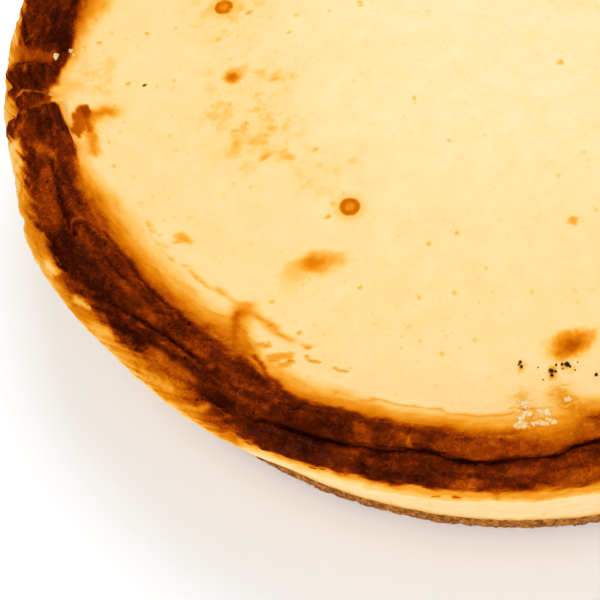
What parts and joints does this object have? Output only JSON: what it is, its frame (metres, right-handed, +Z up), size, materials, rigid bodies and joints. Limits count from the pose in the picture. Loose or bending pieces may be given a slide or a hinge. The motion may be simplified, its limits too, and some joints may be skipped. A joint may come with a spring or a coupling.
{
  "type": "cheesecake",
  "caption": "Whole round baked cheesecake with a browned folded rim, a pale sunken top and a biscuit base.",
  "frame": {"origin": "centre of the flat underside of the biscuit base", "axes": "+Z up through the middle of the cake; -X towards the side that the picture shows at the left, -Y towards the viewer"},
  "size_m": [0.259, 0.2561, 0.0501],
  "materials": {
    "baked_custard": "soft satin, pale cream on top, browned to dark caramel on the rim",
    "biscuit": "matt, crumbly"
  },
  "bodies": {
    "root": {"cheesecake_body": "baked_custard", "biscuit_base": "biscuit"}
  },
  "joints": []
}
